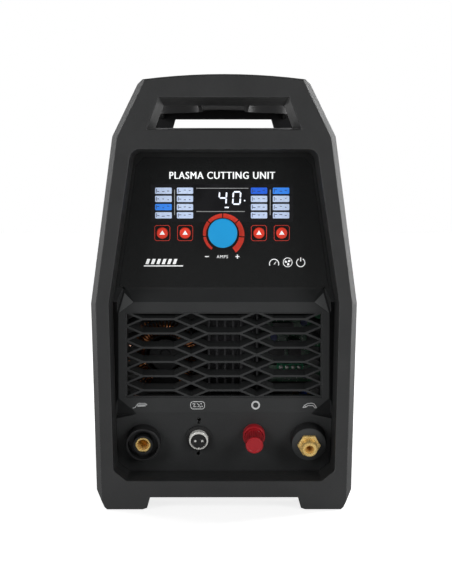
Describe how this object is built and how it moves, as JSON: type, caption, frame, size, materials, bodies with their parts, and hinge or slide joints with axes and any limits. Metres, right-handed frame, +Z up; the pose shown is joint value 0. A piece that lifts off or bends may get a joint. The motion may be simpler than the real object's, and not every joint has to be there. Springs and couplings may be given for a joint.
{
  "type": "plasma cutter unit",
  "caption": "Portable inverter plasma cutter with built-in air compressor: black case with carrying handle, recessed control panel, grille, front sockets and rear fan.",
  "frame": {"origin": "centre of the footprint, on the plane the feet stand on", "axes": "+X to the right seen from the front, +Y from the front panel to the rear panel, +Z up"},
  "size_m": [0.2202, 0.43, 0.3594],
  "materials": {
    "bezel_plastic": "fine spark-eroded texture",
    "panel_plastic": "fine matte texture",
    "overlay_film": "satin printed film",
    "display_glass": "dark gloss",
    "display_unit": "moulded",
    "circuit_board": "solder mask",
    "red_plastic": "moulded",
    "blue_plastic": "satin cap",
    "black_insulator": "moulded",
    "grey_insulator": "moulded",
    "brass": "machined",
    "nickel": "nickel plate",
    "painted_steel": "fine texture powder coat",
    "zinc_steel": "zinc plate",
    "black_steel": "black wire finish",
    "aluminium": "extruded",
    "cast_alloy": "cast",
    "motor_steel": "enamel",
    "rubber": "moulded",
    "hose": "smooth",
    "copper": "enamelled winding wire",
    "ferrite": "sintered",
    "capacitor_sleeve": "shrink sleeve",
    "filter_foam": "open foam"
  },
  "bodies": {
    "unit": {"front_bezel": "bezel_plastic", "rear_bezel": "bezel_plastic", "cover": "painted_steel", "base_plate": "zinc_steel", "handle": "bezel_plastic", "front_panel": "panel_plastic", "front_grille": "panel_plastic", "control_overlay": "overlay_film", "display_window": "display_glass", "display_module": "display_unit", "control_board": "circuit_board", "encoder_body": "nickel", "earth_socket_collar": "black_insulator", "earth_socket_contact": "brass", "socket_nuts": "brass", "pilot_socket_shell": "nickel", "pilot_socket_insert": "black_insulator", "pilot_socket_pins": "nickel", "pilot_socket_ring": "black_insulator", "pilot_post_base": "red_plastic", "pilot_post_stud": "brass", "pilot_post_nut": "nickel", "torch_flange": "grey_insulator", "torch_connector": "brass", "rear_panel": "painted_steel", "fan_frame": "black_insulator", "fan_guard": "black_steel", "mains_switch": "black_insulator", "cable_gland": "black_insulator", "gland_nut": "black_insulator", "air_intake": "black_insulator", "intake_filter": "filter_foam", "inner_frame": "painted_steel", "compressor_mounts": "rubber", "compressor_bracket": "zinc_steel", "compressor_motor": "motor_steel", "compressor_crankcase": "cast_alloy", "compressor_head": "cast_alloy", "solenoid_valve": "brass", "air_hoses": "hose", "output_inductor": "copper", "terminal_board": "circuit_board", "heatsinks": "aluminium", "power_board": "circuit_board", "power_transistors": "black_insulator", "capacitors": "capacitor_sleeve", "transformer": "ferrite", "case_screws": "zinc_steel"},
    "mode_button_1": {"mode_button_1": "red_plastic"},
    "mode_button_2": {"mode_button_2": "red_plastic"},
    "mode_button_3": {"mode_button_3": "red_plastic"},
    "mode_button_4": {"mode_button_4": "red_plastic"},
    "encoder_knob": {"encoder_knob": "blue_plastic"},
    "post_washer": {"pilot_post_washer": "nickel"},
    "post_cap": {"pilot_post_cap": "red_plastic"},
    "fan_rotor": {"fan_rotor": "black_insulator"},
    "mains_rocker": {"mains_rocker": "red_plastic"},
    "compressor_crank": {"compressor_crank": "zinc_steel"},
    "compressor_piston": {"compressor_piston": "cast_alloy"},
    "solenoid_plunger": {"solenoid_plunger": "zinc_steel"}
  },
  "joints": [
    {"name": "mode_button_1_press", "type": "slide", "parent": "unit", "child": "mode_button_1", "axis": [0, 1, 0], "range_m": [0, 0.0006], "stiffness_N_per_m": 500, "springref_m": -0.001},
    {"name": "mode_button_2_press", "type": "slide", "parent": "unit", "child": "mode_button_2", "axis": [0, 1, 0], "range_m": [0, 0.0006], "stiffness_N_per_m": 500, "springref_m": -0.001},
    {"name": "mode_button_3_press", "type": "slide", "parent": "unit", "child": "mode_button_3", "axis": [0, 1, 0], "range_m": [0, 0.0006], "stiffness_N_per_m": 500, "springref_m": -0.001},
    {"name": "mode_button_4_press", "type": "slide", "parent": "unit", "child": "mode_button_4", "axis": [0, 1, 0], "range_m": [0, 0.0006], "stiffness_N_per_m": 500, "springref_m": -0.001},
    {"name": "encoder_turn", "type": "hinge", "parent": "unit", "child": "encoder_knob", "pos_m": [-0.0011, -0.18, 0.2287], "axis": [0, -1, 0], "continuous": true},
    {"name": "post_washer_slide", "type": "slide", "parent": "unit", "child": "post_washer", "axis": [0, -0.9703, -0.2419], "range_m": [0, 0.003]},
    {"name": "post_cap_turn", "type": "hinge", "parent": "post_washer", "child": "post_cap", "pos_m": [0.0254, -0.19331, 0.05529], "axis": [0, -0.9703, -0.2419], "range_deg": [0, 1080]},
    {"name": "fan_spin", "type": "hinge", "parent": "unit", "child": "fan_rotor", "pos_m": [0, 0.178, 0.222], "axis": [0, 1, 0], "continuous": true},
    {"name": "mains_rocker_tip", "type": "hinge", "parent": "unit", "child": "mains_rocker", "pos_m": [-0.048, 0.1905, 0.118], "axis": [-1, 0, 0], "range_deg": [0, 22]},
    {"name": "crank_spin", "type": "hinge", "parent": "unit", "child": "compressor_crank", "pos_m": [0, 0.035, 0.068], "axis": [0, 1, 0], "continuous": true},
    {"name": "piston_stroke", "type": "slide", "parent": "unit", "child": "compressor_piston", "axis": [0, 0, 1], "range_m": [0, 0.01]},
    {"name": "plunger_lift", "type": "slide", "parent": "unit", "child": "solenoid_plunger", "axis": [0, 0, 1], "range_m": [0, 0.002], "stiffness_N_per_m": 200, "springref_m": -0.002}
  ],
  "couplings": [
    {"joint": "post_cap_turn", "follows": "post_washer_slide", "rad_per_m": 6283.2}
  ]
}
